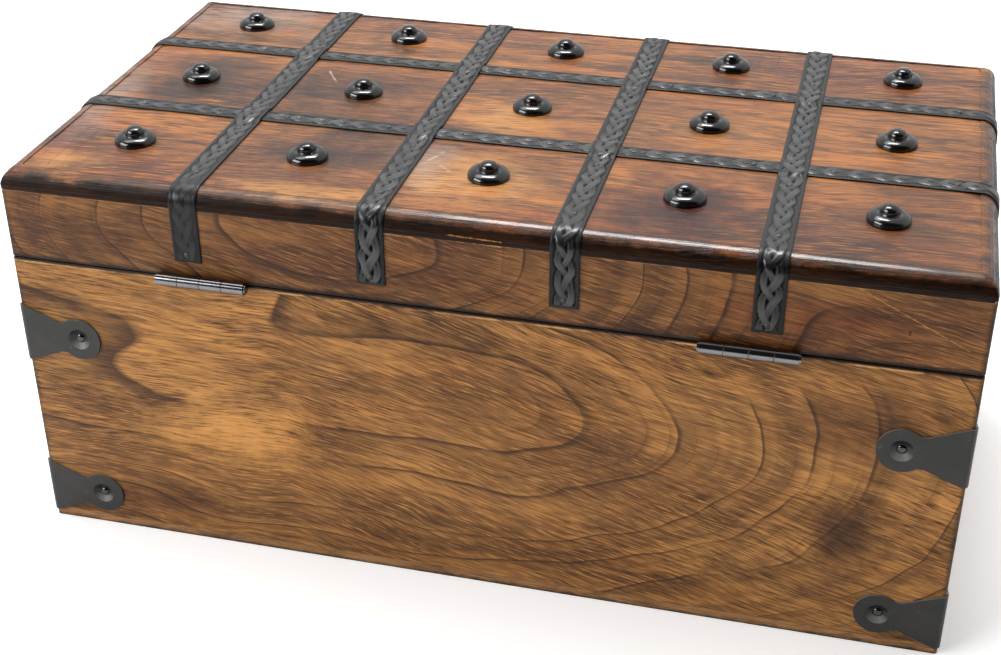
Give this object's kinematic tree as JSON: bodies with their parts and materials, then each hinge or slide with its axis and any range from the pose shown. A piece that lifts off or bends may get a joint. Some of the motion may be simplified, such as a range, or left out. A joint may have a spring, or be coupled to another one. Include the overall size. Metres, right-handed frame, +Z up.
{
  "type": "treasure chest box",
  "caption": "Small wooden keepsake chest with a hinged flat lid, iron straps, domed studs, corner brackets, butt hinges and a front hasp with a staple.",
  "frame": {"origin": "centre of the underside of the bottom board", "axes": "+Z up, -Y to the front with the hasp, +Y to the back with the hinges, +X to the left end as seen from the back"},
  "size_m": [0.3708, 0.2158, 0.1684],
  "materials": {
    "lid_wood": "oiled and waxed hardwood, reddish brown",
    "base_wood": "oiled and waxed hardwood, golden brown",
    "inner_wood": "plain pale dowel wood",
    "strap_iron": "embossed sheet iron, glossy black lacquer",
    "bracket_iron": "smooth sheet iron, satin dark grey lacquer",
    "stud_black": "pressed domes, glossy black lacquer",
    "nail_iron": "blackened nail iron",
    "hinge_steel": "bright nickel-plated steel",
    "screw_steel": "bright screw steel"
  },
  "bodies": {
    "base": {"base_back_board": "base_wood", "base_corner_dowels": "inner_wood", "base_front_board": "base_wood", "base_left_end_board": "base_wood", "base_right_end_board": "base_wood", "bottom_board": "base_wood", "bottom_board_nails": "nail_iron", "bracket_nails": "nail_iron", "corner_bracket_lower_back_left": "bracket_iron", "corner_bracket_lower_back_right": "bracket_iron", "corner_bracket_lower_front_left": "bracket_iron", "corner_bracket_lower_front_right": "bracket_iron", "corner_bracket_upper_back_left": "bracket_iron", "corner_bracket_upper_back_right": "bracket_iron", "corner_bracket_upper_front_left": "bracket_iron", "corner_bracket_upper_front_right": "bracket_iron", "hinge_base_screws": "screw_steel", "hinge_left_base_leaf": "hinge_steel", "hinge_left_pin": "hinge_steel", "hinge_right_base_leaf": "hinge_steel", "hinge_right_pin": "hinge_steel", "staple": "bracket_iron", "staple_nails": "nail_iron", "staple_plate": "bracket_iron"},
    "lid": {"cross_strap_1": "strap_iron", "cross_strap_2": "strap_iron", "cross_strap_3": "strap_iron", "cross_strap_4": "strap_iron", "dome_studs": "stud_black", "hasp_leaf": "bracket_iron", "hasp_nails": "nail_iron", "hasp_pin": "nail_iron", "hinge_left_lid_leaf": "hinge_steel", "hinge_lid_screws": "screw_steel", "hinge_right_lid_leaf": "hinge_steel", "lid_back_board": "lid_wood", "lid_corner_dowels": "inner_wood", "lid_front_board": "lid_wood", "lid_left_end_board": "lid_wood", "lid_right_end_board": "lid_wood", "lid_top_board": "lid_wood", "lid_top_dowels": "inner_wood", "long_strap_back": "strap_iron", "long_strap_front": "strap_iron", "strap_nails": "nail_iron"},
    "hasp": {"hasp_strap": "bracket_iron"}
  },
  "joints": [
    {"name": "lid_hinge", "type": "hinge", "parent": "base", "child": "lid", "pos_m": [0, 0.1028, 0.1251], "axis": [-1, 0, 0], "range_deg": [0, 180]},
    {"name": "hasp_hinge", "type": "hinge", "parent": "lid", "child": "hasp", "pos_m": [0, -0.1032, 0.131], "axis": [1, 0, 0], "range_deg": [0, 184.5]}
  ]
}
